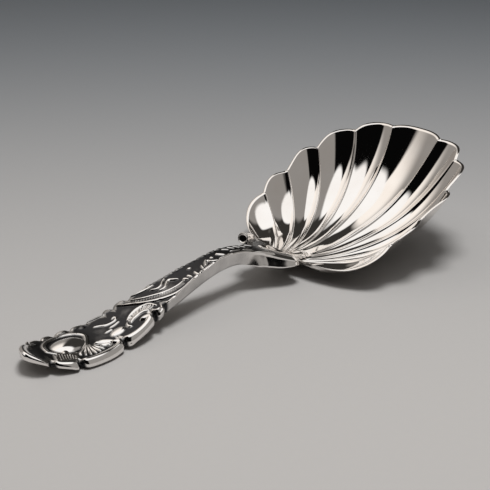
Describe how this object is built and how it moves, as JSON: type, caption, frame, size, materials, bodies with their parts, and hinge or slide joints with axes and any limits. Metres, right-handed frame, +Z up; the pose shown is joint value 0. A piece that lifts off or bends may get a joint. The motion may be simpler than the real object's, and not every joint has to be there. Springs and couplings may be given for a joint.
{
  "type": "tea caddy spoon",
  "caption": "Short silver tea caddy spoon: fluted scallop-shell bowl on an arched handle struck with scrolls and a cartouche; it measures dry tea leaves out of a caddy.",
  "frame": {"origin": "on the table under the middle of the spoon's length, on its centre line", "axes": "+X from the handle's end to the bowl's tip, +Y across the bowl to the side with the rolled scroll, +Z up"},
  "size_m": [0.1008, 0.0418, 0.0202],
  "materials": {
    "polished_silver": "mirror polished",
    "struck_silver": "polished relief with dark oxidised recesses"
  },
  "bodies": {
    "root": {"shell_bowl": "polished_silver", "handle": "struck_silver", "heel_leaf": "struck_silver", "shoulder_scroll": "polished_silver"}
  },
  "joints": []
}
